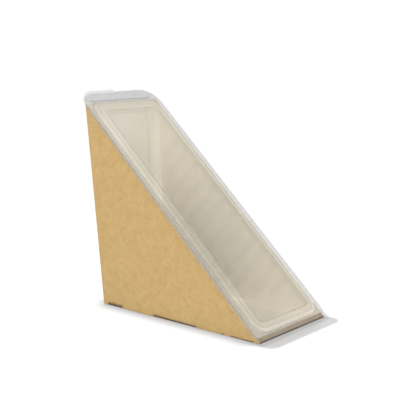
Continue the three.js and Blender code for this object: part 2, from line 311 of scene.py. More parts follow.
def walled(name, mesh, materials, thickness, inner=0, edge=0):
    """A piece from a sheet mesh: the sheet is its outer face, and the wall grows inwards by the thickness. inner and
    edge are how many material slots further on the inner face and the cut edges take theirs."""
    raw = bpy.data.objects.new(name + "_raw", mesh)
    bpy.context.collection.objects.link(raw)
    for material in materials:
        mesh.materials.append(material)
    wall = raw.modifiers.new("wall", "SOLIDIFY")
    wall.thickness = thickness * MM
    wall.offset = -1.0
    wall.use_even_offset = True
    wall.use_quality_normals = True
    wall.material_offset = inner
    wall.material_offset_rim = edge
    done = bpy.data.meshes.new_from_object(raw.evaluated_get(bpy.context.evaluated_depsgraph_get()))
    done.name = name
    bpy.data.objects.remove(raw)
    done.polygons.foreach_set("use_smooth", np.ones(len(done.polygons), bool))
    done.set_sharp_from_angle(angle=SHARP_ANGLE)
    piece = bpy.data.objects.new(name, done)
    bpy.context.collection.objects.link(piece)
    return piece


# ---------------------------------------------------------------- materials


def linear(red, green, blue):
    """A colour given in 0 to 255 as a screen shows it, as linear light."""
    return tuple(
        c / 12.92 if c <= 0.04045 else ((c + 0.055) / 1.055) ** 2.4 for c in (red / 255, green / 255, blue / 255)
    ) + (1.0,)


def new_material(name):
    material = bpy.data.materials.new(name)
    material.use_nodes = True
    material.node_tree.nodes.clear()
    return material, material.node_tree.nodes, material.node_tree.links


def node(nodes, kind, inputs=(), **settings):
    """A node with its settings and plain input values."""
    made = nodes.new(kind)
    for key, value in settings.items():
        setattr(made, key, value)
    for key, value in dict(inputs).items():
        made.inputs[key].default_value = value
    return made


def paper_group():
    """Grain of paper: soft clouds, fine pulp and long fibres, each a noise on object coordinates, added up as one
    tone about 0, with a height for bumps."""
    group = bpy.data.node_groups.new("paper_grain", "ShaderNodeTree")
    socket = group.interface.new_socket
    socket(name="Vector", in_out="INPUT", socket_type="NodeSocketVector")
    for name, value in (("Clouds", 0.3), ("Pulp", 0.4), ("Fibres", 0.3)):
        socket(name=name, in_out="INPUT", socket_type="NodeSocketFloat").default_value = value
    socket(name="Tone", in_out="OUTPUT", socket_type="NodeSocketFloat")
    socket(name="Height", in_out="OUTPUT", socket_type="NodeSocketFloat")
    nodes, links = group.nodes, group.links
    into, out = nodes.new("NodeGroupInput"), nodes.new("NodeGroupOutput")
    clouds = node(nodes, "ShaderNodeTexNoise", {"Scale": 210.0, "Detail": 3.0, "Roughness": 0.5})
    pulp = node(nodes, "ShaderNodeTexNoise", {"Scale": 620.0, "Detail": 5.0, "Roughness": 0.62})
    stretch = node(nodes, "ShaderNodeMapping", {"Rotation": (0.5, 0.0, 0.0), "Scale": (1.0, 0.22, 1.0)})
    fibres = node(nodes, "ShaderNodeTexNoise", {"Scale": 1500.0, "Detail": 3.0, "Roughness": 0.6, "Distortion": 0.6})
    links.new(into.outputs["Vector"], clouds.inputs["Vector"])
    links.new(into.outputs["Vector"], pulp.inputs["Vector"])
    links.new(into.outputs["Vector"], stretch.inputs["Vector"])
    links.new(stretch.outputs["Vector"], fibres.inputs["Vector"])
    total = None
    for texture, amount in ((clouds, "Clouds"), (pulp, "Pulp"), (fibres, "Fibres")):
        centred = node(nodes, "ShaderNodeMath", {1: 0.5}, operation="SUBTRACT")
        scaled = node(nodes, "ShaderNodeMath", operation="MULTIPLY")
        links.new(texture.outputs["Fac"], centred.inputs[0])
        links.new(centred.outputs[0], scaled.inputs[0])
        links.new(into.outputs[amount], scaled.inputs[1])
        if total is None:
            total = scaled
        else:
            both = node(nodes, "ShaderNodeMath", operation="ADD")
            links.new(total.outputs[0], both.inputs[0])
            links.new(scaled.outputs[0], both.inputs[1])
            total = both
    links.new(total.outputs[0], out.inputs["Tone"])
    height = node(nodes, "ShaderNodeMath", operation="ADD")
    links.new(pulp.outputs["Fac"], height.inputs[0])
    links.new(fibres.outputs["Fac"], height.inputs[1])
    links.new(height.outputs[0], out.inputs["Height"])
    return group


PAPER_GRAIN = paper_group()


def paper_material(name, dark, pale, grain, rough, bump, painted_shade=None):
    """Paper: the grain's tone picks a colour between dark and pale and moves the roughness, and its height makes
    bumps. painted_shade is (attribute, colour): where the piece's attribute nears 1, the colour takes over as painted
    shade."""
    material, nodes, links = new_material(name)
    place = node(nodes, "ShaderNodeTexCoord")
    paper = node(nodes, "ShaderNodeGroup", node_tree=PAPER_GRAIN)
    for key, value in zip(("Clouds", "Pulp", "Fibres"), grain):
        paper.inputs[key].default_value = value
    links.new(place.outputs["Object"], paper.inputs["Vector"])
    share = node(nodes, "ShaderNodeMath", {1: 0.5}, operation="ADD", use_clamp=True)
    links.new(paper.outputs["Tone"], share.inputs[0])
    colour = node(nodes, "ShaderNodeMix", data_type="RGBA")
    colour.inputs["A"].default_value, colour.inputs["B"].default_value = dark, pale
    links.new(share.outputs[0], colour.inputs["Factor"])
    shown = colour.outputs["Result"]
    if painted_shade:
        mask = node(nodes, "ShaderNodeAttribute", attribute_name=painted_shade[0])
        over = node(nodes, "ShaderNodeMix", data_type="RGBA")
        over.inputs["B"].default_value = painted_shade[1]
        links.new(mask.outputs["Fac"], over.inputs["Factor"])
        links.new(shown, over.inputs["A"])
        shown = over.outputs["Result"]
    surface = node(nodes, "ShaderNodeBsdfPrincipled", {"Specular IOR Level": 0.25})
    links.new(shown, surface.inputs["Base Color"])
    gloss = node(nodes, "ShaderNodeMapRange", {"To Min": rough[0], "To Max": rough[1]})
    links.new(share.outputs[0], gloss.inputs["Value"])
    links.new(gloss.outputs["Result"], surface.inputs["Roughness"])
    relief = node(nodes, "ShaderNodeBump", {"Strength": bump, "Distance": 0.00012})
    links.new(paper.outputs["Height"], relief.inputs["Height"])
    links.new(relief.outputs["Normal"], surface.inputs["Normal"])
    out = nodes.new("ShaderNodeOutputMaterial")
    links.new(surface.outputs["BSDF"], out.inputs["Surface"])
    return material


SHEET_HAZE = (0.015, 0.09)  # share of the veil where frosted is 0 and 1
FACE_ON_MIRROR = 0.05
RIPPLE_SCALE = 38.0
RIPPLE_HEIGHT = 0.0006


def clear_material(name, tint, dim, warm, cool, haze, rough):
    """Thin clear sheet: a share of the light is mirrored, 5% face on and more by the fifth power of how far the
    sheet is turned away. The rest passes straight through, tinted, and darkened by painted shade where the attribute
    sheet_painted_shade nears 1: lines along bends, a line over the board's upper edge, and flanges. Over that lies a
    faint pale veil: the haze, more of it where the attribute haze_and_painted_highlight nears 1, which on the tray
    also draws painted highlight lines; the veil is warm, or cool by the attribute cool, which lays painted cool shade.
    Slow ripples bend the mirror and move its roughness."""
    material, nodes, links = new_material(name)
    place = node(nodes, "ShaderNodeTexCoord")
    ripples = node(nodes, "ShaderNodeTexNoise", {"Scale": RIPPLE_SCALE, "Detail": 2.0, "Roughness": 0.5})
    links.new(place.outputs["Object"], ripples.inputs["Vector"])
    bent = node(nodes, "ShaderNodeBump", {"Strength": 0.3, "Distance": RIPPLE_HEIGHT})
    links.new(ripples.outputs["Fac"], bent.inputs["Height"])
    gloss = node(nodes, "ShaderNodeMapRange", {"To Min": rough[0], "To Max": rough[1]})
    links.new(ripples.outputs["Fac"], gloss.inputs["Value"])
    painted_shade_mask = node(nodes, "ShaderNodeAttribute", attribute_name="sheet_painted_shade")
    passed = node(nodes, "ShaderNodeMix", data_type="RGBA")
    passed.inputs["A"].default_value, passed.inputs["B"].default_value = tint, dim
    links.new(painted_shade_mask.outputs["Fac"], passed.inputs["Factor"])
    through = nodes.new("ShaderNodeBsdfTransparent")
    links.new(passed.outputs["Result"], through.inputs["Color"])
    mirror = node(nodes, "ShaderNodeBsdfAnisotropic", {"Color": (1.0, 1.0, 1.0, 1.0)})
    links.new(gloss.outputs["Result"], mirror.inputs["Roughness"])
    links.new(bent.outputs["Normal"], mirror.inputs["Normal"])
    facing = node(nodes, "ShaderNodeLayerWeight", {"Blend": 0.5})
    steep = node(nodes, "ShaderNodeMath", {1: 5.0}, operation="POWER")
    links.new(facing.outputs["Facing"], steep.inputs[0])
    mirrored = node(nodes, "ShaderNodeMapRange", {"To Min": FACE_ON_MIRROR, "To Max": 1.0})
    links.new(steep.outputs[0], mirrored.inputs["Value"])
    clear = nodes.new("ShaderNodeMixShader")
    links.new(mirrored.outputs["Result"], clear.inputs["Fac"])
    links.new(through.outputs["BSDF"], clear.inputs[1])
    links.new(mirror.outputs["BSDF"], clear.inputs[2])
    pale = node(nodes, "ShaderNodeBsdfPrincipled", {"Roughness": 0.5})
    chill = node(nodes, "ShaderNodeAttribute", attribute_name="cool")
    veil = node(nodes, "ShaderNodeMix", data_type="RGBA")
    veil.inputs["A"].default_value, veil.inputs["B"].default_value = warm, cool
    links.new(chill.outputs["Fac"], veil.inputs["Factor"])
    links.new(veil.outputs["Result"], pale.inputs["Base Color"])
    haze_and_painted_highlight = node(nodes, "ShaderNodeAttribute", attribute_name="haze_and_painted_highlight")
    share = node(nodes, "ShaderNodeMapRange", {"To Min": haze[0], "To Max": haze[1]})
    links.new(haze_and_painted_highlight.outputs["Fac"], share.inputs["Value"])
    hazed = nodes.new("ShaderNodeMixShader")
    links.new(share.outputs["Result"], hazed.inputs["Fac"])
    links.new(clear.outputs["Shader"], hazed.inputs[1])
    links.new(pale.outputs["BSDF"], hazed.inputs[2])
    out = nodes.new("ShaderNodeOutputMaterial")
    links.new(hazed.outputs["Shader"], out.inputs["Surface"])
    return material


# Over the attribute painted_cut_and_lip_shade the kraft takes a dark colour: painted shade in the crease cuts and on
# the lip.
KRAFT = paper_material(
    "kraft_outside",
    linear(146, 118, 71),
    linear(177, 151, 104),
    (0.62, 0.7, 0.6),
    (0.72, 0.9),
    0.35,
    painted_shade=("painted_cut_and_lip_shade", linear(64, 43, 25)),
)
LINING = paper_material(
    "pale_inside", linear(229, 221, 204), linear(243, 237, 221), (0.3, 0.5, 0.3), (0.6, 0.75), 0.2
)
CUT_EDGE = paper_material(
    "board_cut_edge", linear(176, 140, 92), linear(214, 186, 142), (0.2, 0.9, 0.6), (0.85, 0.95), 0.5
)
SHEET_TINT = linear(253, 253, 253)
# In each sheet look the second colour is the colour of painted shade, and the fourth, the cool veil, is painted cool
# shade past the sleeve.
TRAY_LOOK = (SHEET_TINT, linear(214, 214, 213), linear(236, 230, 216), linear(222, 222, 226), SHEET_HAZE)
CLEAR_TRAY = clear_material("clear_tray_sheet", *TRAY_LOOK, (0.08, 0.16))
CLEAR_LEAF = clear_material("clear_leaf_sheet", *TRAY_LOOK, (0.25, 0.4))
# Same order for the lid: painted shade colour second, painted cool shade colour fourth.
CLEAR_LID = clear_material(
    "clear_lid_sheet",
    SHEET_TINT,
    linear(208, 207, 205),
    linear(238, 233, 222),
    linear(212, 212, 217),
    SHEET_HAZE,
    (0.05, 0.12),
)


# ---------------------------------------------------------------- board sleeve


def leg_rows():
    """Rows along the board's outer face, each an outer point (Y, Z) and the direction into the pack: up the base
    turn of the lip, round the front fold, along the base, round the back fold and up the back panel. Round a fold
    the point is the fold's centre minus its radius times the direction, which turns evenly."""
    slots = np.array(CREASE_CUTS).ravel()
    edges = BASE_LEG - np.concatenate([slots - CREASE_END, slots + CREASE_END])
    toe_turn = math.pi - TOE_ANGLE
    heel_turn = math.pi - CORNER_ANGLE
    toe_trim = FOLD_ROUND * math.tan(toe_turn / 2)
    heel_trim = HEEL_ROUND * math.tan(heel_turn / 2)

    lip_v = np.linspace(FRONT_LIP, toe_trim, 6)
    lip = TOE + lip_v[:, None] * ALONG
    lip_in = np.broadcast_to(-OUTWARD, lip.shape)

    toe_centre = TOE + np.array([toe_trim, FOLD_ROUND])
    angle = np.linspace(math.pi / 2 + TOE_ANGLE, 1.5 * math.pi, 10)[1:]
    toe_out = np.stack([np.cos(angle), np.sin(angle)], axis=1)
    toe = toe_centre + FOLD_ROUND * toe_out

    base_s = np.concatenate([np.linspace(toe_trim, BASE_LEG - heel_trim, 90), edges])
    base_s = np.unique(np.round(base_s, 4))[1:]
    base = TOE + base_s[:, None] * np.array([1.0, 0.0])
    base_in = np.broadcast_to(np.array([0.0, 1.0]), base.shape)

    heel_centre = HEEL + np.array([-heel_trim, HEEL_ROUND])
    angle = np.linspace(-math.pi / 2, -math.pi / 2 + heel_turn, 8)[1:]
    heel_out = np.stack([np.cos(angle), np.sin(angle)], axis=1)
    heel = heel_centre + HEEL_ROUND * heel_out

    back_s = np.unique(np.concatenate([np.linspace(heel_trim, BACK_LEG, 90), [BACK_LEG - SIDE_TIP_CUT]]))[1:]
    back = HEEL + back_s[:, None] * BACK_UP
    back_in = np.broadcast_to(BACK_INWARD, back.shape)

    outer = np.concatenate([lip, toe, base, heel, back])
    inward = np.concatenate([lip_in, -toe_out, base_in, -heel_out, back_in])
    side_start = len(lip) + len(toe) - 1
    side_end = len(outer) - len(back) + int(np.argmin(abs(back_s - (BACK_LEG - SIDE_TIP_CUT))))
    return outer, inward, len(lip) - 1, side_start, side_end


def sleeve_piece():
    """Board sleeve in three kinds of grid. The wrap carries a cross line along the rows of leg_rows: a quarter
    round at each side fold and a flat between. Each side panel runs from that fold to the open edge, straight
    between a row's fold point and the point at the same share of the open edge, and bellies out a little. The lip
    carries only the flat on up the slope. Points in the cut creases are pressed in, and the attribute
    painted_cut_and_lip_shade marks them and the lip for painted shade, darkest at the lip's fold."""
    outer, inward, lip_end, side_start, side_end = leg_rows()
    half = SLEEVE_WIDTH / 2
    bend = np.linspace(0, math.pi / 2, 5)
    flat_x = np.linspace(half - FOLD_ROUND, FOLD_ROUND - half, 25)
    cross_x = np.concatenate([
        half - FOLD_ROUND + FOLD_ROUND * np.cos(bend), flat_x[1:-1], FOLD_ROUND - half - FOLD_ROUND * np.sin(bend)
    ])
    cross_in = np.concatenate([
        FOLD_ROUND * (1 - np.sin(bend)), np.zeros(len(flat_x) - 2), FOLD_ROUND * (1 - np.cos(bend))
    ])

    def wrap(rows, xs, ins):
        yz = outer[rows, None, :] + ins[None, :, None] * inward[rows, None, :]
        x = np.broadcast_to(xs[None, :, None], yz.shape[:2] + (1,))
        return np.concatenate([x, yz], axis=2) * MM

    every = np.arange(len(outer))
    body = wrap(every[lip_end:], cross_x, cross_in)
    lip = wrap(every[: lip_end + 1], flat_x, np.zeros(len(flat_x)))

    rows = every[side_start : side_end + 1]
    fold = outer[rows] + FOLD_ROUND * inward[rows]
    gone = np.concatenate([[0.0], np.cumsum(np.linalg.norm(np.diff(outer[rows], axis=0), axis=1))])
    toe_trim = FOLD_ROUND * math.tan((math.pi - TOE_ANGLE) / 2)
    straight = TOE + np.linspace(toe_trim, SLOPE_LENGTH - SIDE_TIP_CUT, 60)[:, None] * ALONG
    t = np.linspace(0, TIP_CURVE_END, 8)[1:, None]
    tip_curve = (1 - t) ** 2 * straight[-1] + 2 * t * (1 - t) * TIP + t**2 * fold[-1]
    edge_line = np.concatenate([straight, tip_curve])
    run = np.concatenate([[0.0], np.cumsum(np.linalg.norm(np.diff(edge_line, axis=0), axis=1))])
    at = gone / gone[-1] * run[-1]
    edge = np.stack([np.interp(at, run, edge_line[:, k]) for k in (0, 1)], axis=1)
    share = np.linspace(0, 1, 26)[None, :, None]
    panel = fold[:, None, :] * (1 - share) + edge[:, None, :] * share
    reach = np.linalg.norm(edge - fold, axis=1)[:, None] / (BACK_LEG * math.sin(math.pi / 4))
    bow = SIDE_BOW * np.sin(math.pi * np.clip(share[:, :, 0] * 0.9, 0, 1)) * np.clip(reach, 0, 1)
    right = np.concatenate([(half + bow)[:, :, None], panel], axis=2) * MM
    left = right * np.array([-1.0, 1.0, 1.0])

    mesh = sheet_mesh(
        "kraft_shell",
        [(body, False, True), (lip, False, True), (right, False, False), (left, False, True)],
    )
    at = corners_of(mesh)
    from_back = HEEL_Y - at[:, 1]
    in_slot = np.zeros(len(at))
    for near, far in CREASE_CUTS:
        in_slot = np.maximum(in_slot, ((from_back > near) & (from_back < far)).astype(float))
    low = (at[:, 2] < CREASE_HEIGHT) & (abs(at[:, 0]) > half - CREASE_BAND)
    up = (at[:, 1:] - TOE) @ ALONG
    off = (at[:, 1:] - TOE) @ OUTWARD
    # Painted shade: the crease cuts near the floor and the lip, darkest at its fold, are marked for the kraft's dark
    # colour.
    on_lip = (off > -BOARD - 0.1) * (up < FRONT_LIP + 0.1) * (abs(at[:, 0]) < half - 0.2)
    shaded = on_lip * (LIP_SHADE + (1 - LIP_SHADE) * smooth_step(LIP_DARK_REACH - up, 0.0, 0.4))
    store(mesh, "painted_cut_and_lip_shade", np.maximum(in_slot * low, shaded))
    at[:, 0] -= np.sign(at[:, 0]) * CREASE_DEPTH * in_slot * low
    mesh.vertices.foreach_set("co", (at * MM).ravel())
    mesh.update()
    piece = walled("kraft_shell", mesh, [KRAFT, LINING, CUT_EDGE], BOARD, inner=1, edge=2)
    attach(piece, "pack_body")
    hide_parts("kraft_sleeve")
    return piece


# ---------------------------------------------------------------- clear lid


def tabbed(u, v, reach, side):
    """Moves the upper end of the rings out for the finger tab: the reach times a step across the notch's wall, and
    times a step from halfway up to the start of the end's corners, so that the sides only stretch."""
    start = TAB_SPLIT + side * TAB_NOTCH / 2
    across = smooth_step(side * (u - start), -0.2, 0.2)
    up = smooth_step(v, SLOPE_LENGTH / 2, FLANGE_END - FLANGE_TOP_RADIUS)
    return v + reach * across * up


def lid_piece():
    """Lid: rounded rectangles from the middle of the window outwards, which drop or rise as they grow: the
    window's floor, the recess's wall, the flat top of the rim, the rim's slope and the flange. The window's floor
    sags by a few slow sines. The attributes mark zones by the distance from the rounded rectangles: haze outside
    the window, painted cool shade past the sleeve, and painted shade along the bends, over the board's upper edge,
    at the rim's upper end and on the flange."""
    floor = RIM_TOP - WINDOW_DEPTH
    foot = FLANGE_WIDTH / 2 - RIM_SIDE_FOOT
    end = SLOPE_LENGTH + RIM_BACK_FOOT
    window_end = SLOPE_LENGTH - WINDOW_BACK
    spine = WINDOW_WIDTH / 2 - 0.05
    # half width, lower end, upper end, lower and upper corner radius, share of the tab, height
    keys = [
        (0.05, WINDOW_FRONT + spine, window_end - spine, 0.02, 0.02, 0, floor),
        (WINDOW_WIDTH / 2 - WINDOW_SLOPE, WINDOW_FRONT + WINDOW_SLOPE, window_end - WINDOW_SLOPE,
         WINDOW_RADIUS - WINDOW_SLOPE, WINDOW_RADIUS - WINDOW_SLOPE, 0, floor),
        (WINDOW_WIDTH / 2, WINDOW_FRONT, window_end, WINDOW_RADIUS, WINDOW_RADIUS, 0, RIM_TOP),
        (foot - RIM_SLOPE, RIM_FRONT_FOOT + RIM_SLOPE, end - RIM_SLOPE,
         RIM_RADIUS - RIM_SLOPE, RIM_RADIUS - RIM_SLOPE, 0, RIM_TOP),
        (foot, RIM_FRONT_FOOT, end, RIM_RADIUS, RIM_RADIUS, 0, LID_TOP),
        (FLANGE_WIDTH / 2, LID_FRONT, FLANGE_END, LID_FRONT_RADIUS, FLANGE_TOP_RADIUS, 1, LID_TOP),
    ]
    rows = filled(softened(keys, LID_TRIMS), 1.6)
    half, low, high, low_round, high_round, tab, height = (c[:, None] for c in rows.T)
    plan = ring_plan(90, 44, 10)
    u, v = rounded_rings(plan, half, low, high, low_round, high_round)
    v = v + tab * (tabbed(u, v, LID_TAB, -1) - v)
    inside = smooth_step(WINDOW_WIDTH / 2 - half, 0.5, 6.0)
    wave = 0.07 * np.sin(v / 23.0 + 0.6) + 0.05 * np.sin(v / 9.7 + u / 14.0) + 0.04 * np.sin(u / 7.0 + 1.0)
    mesh = sheet_mesh("lid_sheet", [(on_slope(u, v, height - inside * abs(wave)), True, False)])
    at = corners_of(mesh)
    up = (at[:, 1:] - TOE) @ ALONG
    from_foot = beyond(at[:, 0], up, foot, RIM_FRONT_FOOT, end, RIM_RADIUS)
    from_top = beyond(
        at[:, 0], up, foot - RIM_SLOPE, RIM_FRONT_FOOT + RIM_SLOPE, end - RIM_SLOPE, RIM_RADIUS - RIM_SLOPE
    )
    from_window = beyond(at[:, 0], up, WINDOW_WIDTH / 2, WINDOW_FRONT, window_end, WINDOW_RADIUS)
    on_flange = smooth_step(from_foot, -0.3, 0.3)
    off_window = smooth_step(from_window, -0.7, 0.2)
    # Painted shade: dark lines along the lid's bends.
    bend = np.zeros(len(at))
    marks = ((from_foot, 0.45), (from_top, 0.25), (from_window, 0.5), (from_window + WINDOW_SLOPE, 0.2))
    for distance, strength in marks:
        bend = np.maximum(bend, strength * line_at(distance, BEND_WIDTH))
    past = past_sleeve(at[:, 0], up)
    at_front = on_flange * smooth_step(RIM_FRONT_FOOT - up, 0.0, 1.0)
    store(mesh, "haze_and_painted_highlight", off_window * (1 - FRONT_HAZE_CUT * at_front))
    # Painted cool shade: the veil turns cool grey on the flange past the sleeve.
    store(mesh, "cool", on_flange * past)
    # Painted shade: a band at the rim's upper end over the board, a dark line over the board's upper edge, and a
    # dimmer flange.
    upper = smooth_step(up, end - 0.4, end + 0.2) * (1 - past)
    board_line = line_at(up - SLOPE_LENGTH, 0.45) * (abs(at[:, 0]) < SLEEVE_WIDTH / 2)
    bend = bend + 0.4 * upper + 0.7 * board_line
    store(mesh, "sheet_painted_shade", np.maximum(bend, flange_painted_shade(on_flange, past)))
    piece = walled("lid_sheet", mesh, [CLEAR_LID], SHEET)
    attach(piece, "lid")
    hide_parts("clear_lid")
    return piece


# ---------------------------------------------------------------- clear tray


def tray_limits(depth, inset):
    """Lower and upper end of the tray's inside at a depth under the mouth: straight down from the mouth's ends
    until the walls along base and back panel take over, with a smooth corner between the two."""
    off = BOARD + LEG_CLEARANCE + inset
    low_wall = depth / math.tan(TOE_ANGLE) + off / math.sin(TOE_ANGLE)
    high_wall = SLOPE_LENGTH - depth / math.tan(TIP_ANGLE) - off / math.sin(TIP_ANGLE)
    low_end, high_end = MOUTH_FRONT + inset, SLOPE_LENGTH - MOUTH_BACK - inset
    soft = 1.2
    low = (low_end + low_wall + np.sqrt((low_end - low_wall) ** 2 + soft)) / 2
    high = (high_end + high_wall - np.sqrt((high_end - high_wall) ** 2 + soft)) / 2
    return low, high


def flute_depth(v, depth):
    """How far the side wall stands out for its flutes: a raised cosine of the distance from the nearest flute's
    line, which runs from a start below the mouth to an end short of the tray's far walls."""
    first = SLOPE_LENGTH / 2 - (FLUTE_COUNT - 1) / 2 * FLUTE_PITCH
    centre = first + FLUTE_PITCH * np.clip(np.round((v - first) / FLUTE_PITCH), 0, FLUTE_COUNT - 1)
    wall = BOARD + LEG_CLEARANCE
    floor = np.minimum(
        (centre - FLUTE_RADIUS) * math.tan(TOE_ANGLE) - wall / math.cos(TOE_ANGLE),
        (SLOPE_LENGTH - centre - FLUTE_RADIUS) * math.tan(TIP_ANGLE) - wall / math.cos(TIP_ANGLE),
    )
    end = np.maximum(floor - FLUTE_END_GAP, FLUTE_START)
    beyond = np.maximum(np.maximum(FLUTE_START - depth, depth - end), 0.0)
    away = np.hypot(v - centre, beyond)
    wave = 0.5 * (1 + np.cos(math.pi * np.clip(away / (FLUTE_PITCH / 2), 0, 1)))
    return FLUTE_PROUD * wave * (end - FLUTE_START > FLUTE_PITCH / 2)


def tray_piece():
    """Tray: rounded rectangles from its deepest line up to the mouth and out to the flange's edge. Each depth has
    its own width by the side walls' draft, its own ends by tray_limits, and a quarter round at the heel; the side
    walls stand out by flute_depth. The attributes mark the flange, painted highlight lines on the flutes' crests and
    on two lines along the upright corners of the back wall, and painted shade and painted cool shade on the flange."""
    inset = SHEET
    off = BOARD + LEG_CLEARANCE + inset
    radius = HEEL_RADIUS - inset
    reach = (off + radius) / math.sin(TOE_ANGLE)
    reach_back = (off + radius) / math.sin(TIP_ANGLE)
    spread = 1 / math.tan(TOE_ANGLE) + 1 / math.tan(TIP_ANGLE)
    centre_depth = (SLOPE_LENGTH - reach - reach_back) / spread
    centre_v = centre_depth / math.tan(TOE_ANGLE) + reach
    straight_end = centre_depth + radius * math.cos(max(TOE_ANGLE, TIP_ANGLE))

    turn = np.linspace(math.pi / 2, math.asin((straight_end - centre_depth) / radius), 14)
    round_depth = centre_depth + radius * np.sin(turn)
    round_half = np.maximum(radius * np.cos(turn), 0.01)
    wall_depth = np.linspace(straight_end, 0.8, 64)[1:]
    low_wall, high_wall = tray_limits(wall_depth, inset)
    depth = np.concatenate([round_depth, wall_depth])
    low = np.concatenate([centre_v - round_half, low_wall])
    high = np.concatenate([centre_v + round_half, high_wall])
    half = MOUTH_WIDTH / 2 - inset - depth * math.tan(SIDE_DRAFT)
    corner = np.minimum(MOUTH_RADIUS - inset + depth * RADIUS_GROWTH, MOST_ROUND * (high - low))
    zero = np.zeros(len(depth))
    walls = np.stack([half, low, high, corner, corner, zero, -depth], axis=1)

    mouth_low, mouth_high = tray_limits(np.array(0.0), inset)
    mouth = (MOUTH_WIDTH / 2 - inset, mouth_low, mouth_high, MOUTH_RADIUS - inset, MOUTH_RADIUS - inset, 0, TRAY_TOP)
    flange = (FLANGE_WIDTH / 2, TRAY_FRONT, FLANGE_END, TRAY_FRONT_RADIUS, FLANGE_TOP_RADIUS, 1, TRAY_TOP)
    top = filled(softened([walls[-1], mouth, flange], (0.7,)), 1.2)
    rows = np.concatenate([walls[:-1], top])
    half, low, high, low_round, high_round, tab, height = (c[:, None] for c in rows.T)
    plan = ring_plan(200, 30, 9)
    u, v = rounded_rings(plan, half, low, high, low_round, high_round)
    v = v + tab * (tabbed(u, v, TRAY_TAB, 1) - v)
    on_side = smooth_step(abs(u), half - 1.5, half - 0.2) * (height < -1)
    u = u + np.sign(u) * on_side * flute_depth(v, -height)
    mesh = sheet_mesh("tray_sheet", [(on_slope(u, v, height), True, False)])
    at = corners_of(mesh)
    up = (at[:, 1:] - TOE) @ ALONG
    on_flange = smooth_step(
        beyond(at[:, 0], up, MOUTH_WIDTH / 2, MOUTH_FRONT, SLOPE_LENGTH - MOUTH_BACK, MOUTH_RADIUS), -0.2, 0.5
    )
    past = past_sleeve(at[:, 0], up)
    at_front = smooth_step(MOUTH_FRONT - up, 0.0, 1.0)
    under = -((at[:, 1:] - TOE) @ OUTWARD)
    from_side = MOUTH_WIDTH / 2 - under * math.tan(SIDE_DRAFT) - abs(at[:, 0])
    # Painted highlight: pale veil lines on the flutes' crests and along two lines at the back wall's upright corners.
    crest = flute_depth(up, under) / FLUTE_PROUD * (under > 1) * (from_side < 1.5)
    from_back = (at[:, 1:] - HEEL) @ BACK_INWARD
    turn_line = line_at(from_side - MOUTH_RADIUS, 0.5) + 0.6 * line_at(from_side - MOUTH_RADIUS / 2, 0.5)
    turn_line = turn_line * (from_back < 2.5) * (under > 1)
    store(mesh, "haze_and_painted_highlight", np.maximum(on_flange * (1 - FRONT_HAZE_CUT * at_front), 0.5 * crest + turn_line))
    # Painted cool shade: the veil turns cool grey on the flange past the sleeve.
    store(mesh, "cool", on_flange * past)
    # Painted shade on the tray's flange, more past the sleeve.
    store(mesh, "sheet_painted_shade", flange_painted_shade(on_flange, past))
    piece = walled("tray_sheet", mesh, [CLEAR_TRAY], SHEET)
    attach(piece, "pack_body")
    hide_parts("clear_tray")
    return piece


def leaf_piece():
    """Leaf on the floor: a line down the last of the slope, round the fold and forward along the floor, carried
    across the pack, and narrowed at its free end by the quarter rounds of its two corners."""
    high = SHEET
    fold_v = (high - TRAY_TOP * OUTWARD[1]) / ALONG[1]
    fold = TOE + fold_v * ALONG + TRAY_TOP * OUTWARD
    top = TOE + TRAY_FRONT * ALONG + TRAY_TOP * OUTWARD
    tip_y = TOE_Y - LEAF_REACH
    t = np.linspace(0, 1, 7)[:, None]
    ahead = fold + np.array([-0.6, 0.0])
    bend = (1 - t) ** 2 * top + 2 * t * (1 - t) * fold + t**2 * ahead
    corner = np.linspace(0, math.pi / 2, 12)[1:]
    flat_y = np.concatenate([
        np.linspace(ahead[0], tip_y + LEAF_RADIUS, 6)[1:], tip_y + LEAF_RADIUS * (1 - np.sin(corner))
    ])
    flat = np.stack([flat_y, np.full(len(flat_y), high)], axis=1)
    line = np.concatenate([bend, flat])
    narrow = np.concatenate([np.zeros(len(bend) + 5), LEAF_RADIUS * (1 - np.cos(corner))])
    half = (FLANGE_WIDTH / 2 - narrow)[:, None]
    across = np.linspace(1, -1, 41)[None, :]
    x = half * across
    yz = np.broadcast_to(line[:, None, :], x.shape + (2,))
    grid = np.concatenate([x[:, :, None], yz], axis=2) * MM
    mesh = sheet_mesh("front_leaf", [(grid, False, False)])
    flat = smooth_step(TOE_Y - corners_of(mesh)[:, 1], 0.2, 1.2)
    store(mesh, "haze_and_painted_highlight", flat)
    # Painted cool shade on the flat part of the leaf.
    store(mesh, "cool", flat * 0.6)
    piece = walled("front_leaf", mesh, [CLEAR_LEAF], SHEET)
    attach(piece, "pack_body")
    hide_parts("clear_tray")
    return piece


def hinge_piece():
    """Hinge: the thin strip that joins the lid's lower edge to the tray's. Its line is a quadratic curve from one
    edge to the other that bows down the slope, carried across the pack."""
    half = FLANGE_WIDTH / 2 - LID_FRONT_RADIUS
    upper = np.array([LID_FRONT + 0.1, LID_TOP - 0.1])
    lower = np.array([TRAY_FRONT + 0.3, TRAY_TOP + HINGE_SHEET])
    bow = np.array([TRAY_FRONT - 0.2, LID_TOP - 0.1])
    t = np.linspace(0, 1, 10)[:, None]
    line = (1 - t) ** 2 * upper + 2 * t * (1 - t) * bow + t**2 * lower
    u = np.linspace(-half, half, 31)[None, :]
    grid = on_slope(u, line[:, :1], line[:, 1:])
    mesh = sheet_mesh("hinge_strip", [(grid, False, False)])
    piece = walled("hinge_strip", mesh, [CLEAR_LID], HINGE_SHEET)
    start = on_slope(np.array(0.0), np.array(lower[0]), np.array(lower[1]))
    end = on_slope(np.array(0.0), np.array(upper[0]), np.array(upper[1]))
    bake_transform(piece)
    return piece


sleeve_piece()
tray_piece()
leaf_piece()
lid_piece()
hinge_piece()


# ---------------------------------------------------------------- studio


